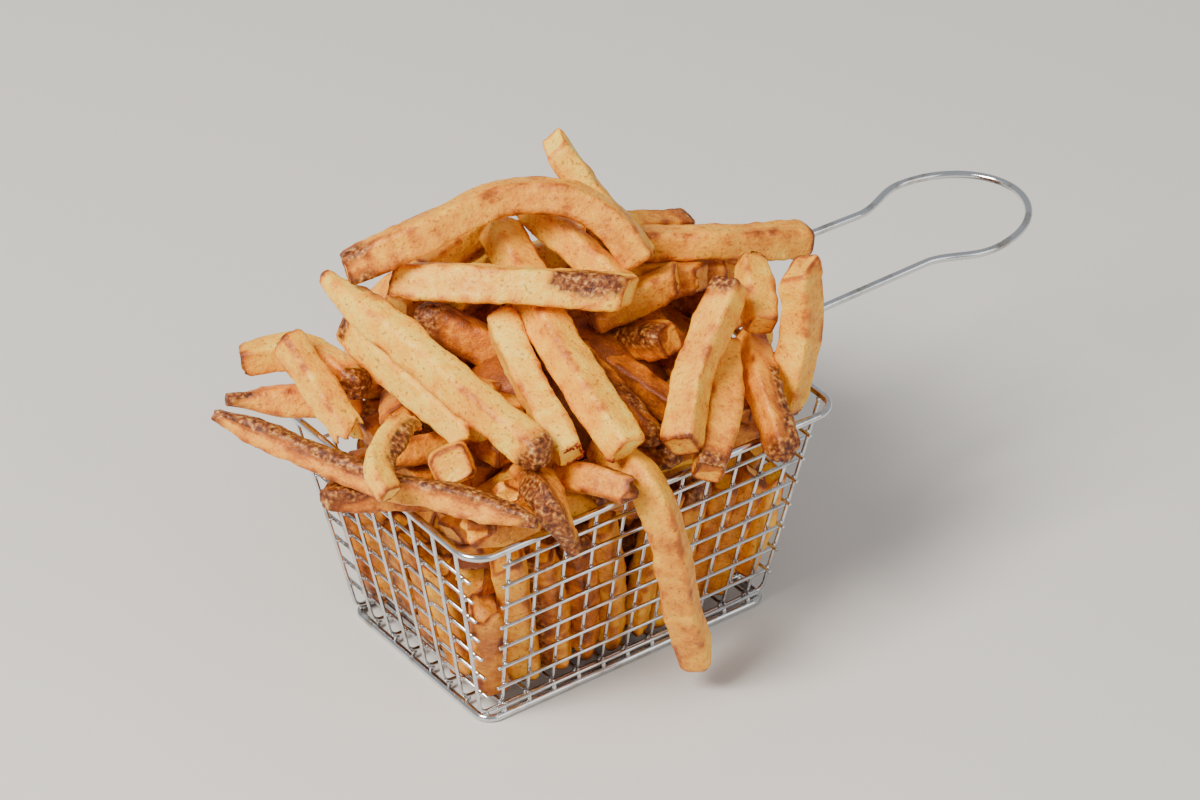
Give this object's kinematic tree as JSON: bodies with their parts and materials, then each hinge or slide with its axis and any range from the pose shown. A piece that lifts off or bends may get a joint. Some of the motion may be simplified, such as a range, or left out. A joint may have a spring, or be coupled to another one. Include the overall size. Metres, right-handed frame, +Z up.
{
  "type": "french fries portion in a mini wire fryer basket",
  "caption": "Hand-cut, skin-on french fries heaped over the rim of a small chromed wire serving basket with a loop handle",
  "frame": {"origin": "bottom centre of the whole part's bounding box, on the surface that the basket stands on", "axes": "+X along the handle, away from the basket; +Y across the basket; +Z up"},
  "size_m": [0.2526, 0.1224, 0.1317],
  "materials": {
    "chrome": "bright chrome plate on drawn steel wire, polished",
    "fried_potato": "deep-fried potato, dry golden crust with browned skin at the ends"
  },
  "bodies": {
    "root": {"rim": "chrome", "base_frame": "chrome", "handle": "chrome", "lengthwise_wire_1": "chrome", "lengthwise_wire_2": "chrome", "lengthwise_wire_3": "chrome", "lengthwise_wire_4": "chrome", "lengthwise_wire_5": "chrome", "lengthwise_wire_6": "chrome", "lengthwise_wire_7": "chrome", "lengthwise_wire_8": "chrome", "crosswise_wire_1": "chrome", "crosswise_wire_2": "chrome", "crosswise_wire_3": "chrome", "crosswise_wire_4": "chrome", "crosswise_wire_5": "chrome", "crosswise_wire_6": "chrome", "crosswise_wire_7": "chrome", "crosswise_wire_8": "chrome", "crosswise_wire_9": "chrome", "crosswise_wire_10": "chrome", "crosswise_wire_11": "chrome", "right_row_1": "chrome", "right_row_2": "chrome", "right_row_3": "chrome", "right_row_4": "chrome", "right_row_5": "chrome", "right_row_6": "chrome", "right_row_7": "chrome", "right_row_8": "chrome", "left_row_1": "chrome", "left_row_2": "chrome", "left_row_3": "chrome", "left_row_4": "chrome", "left_row_5": "chrome", "left_row_6": "chrome", "left_row_7": "chrome", "left_row_8": "chrome", "front_row_1": "chrome", "front_row_2": "chrome", "front_row_3": "chrome", "front_row_4": "chrome", "front_row_5": "chrome", "front_row_6": "chrome", "front_row_7": "chrome", "back_row_1": "chrome", "back_row_2": "chrome", "back_row_3": "chrome", "back_row_4": "chrome", "back_row_5": "chrome", "back_row_6": "chrome", "back_row_7": "chrome", "fries": "fried_potato"}
  },
  "joints": []
}
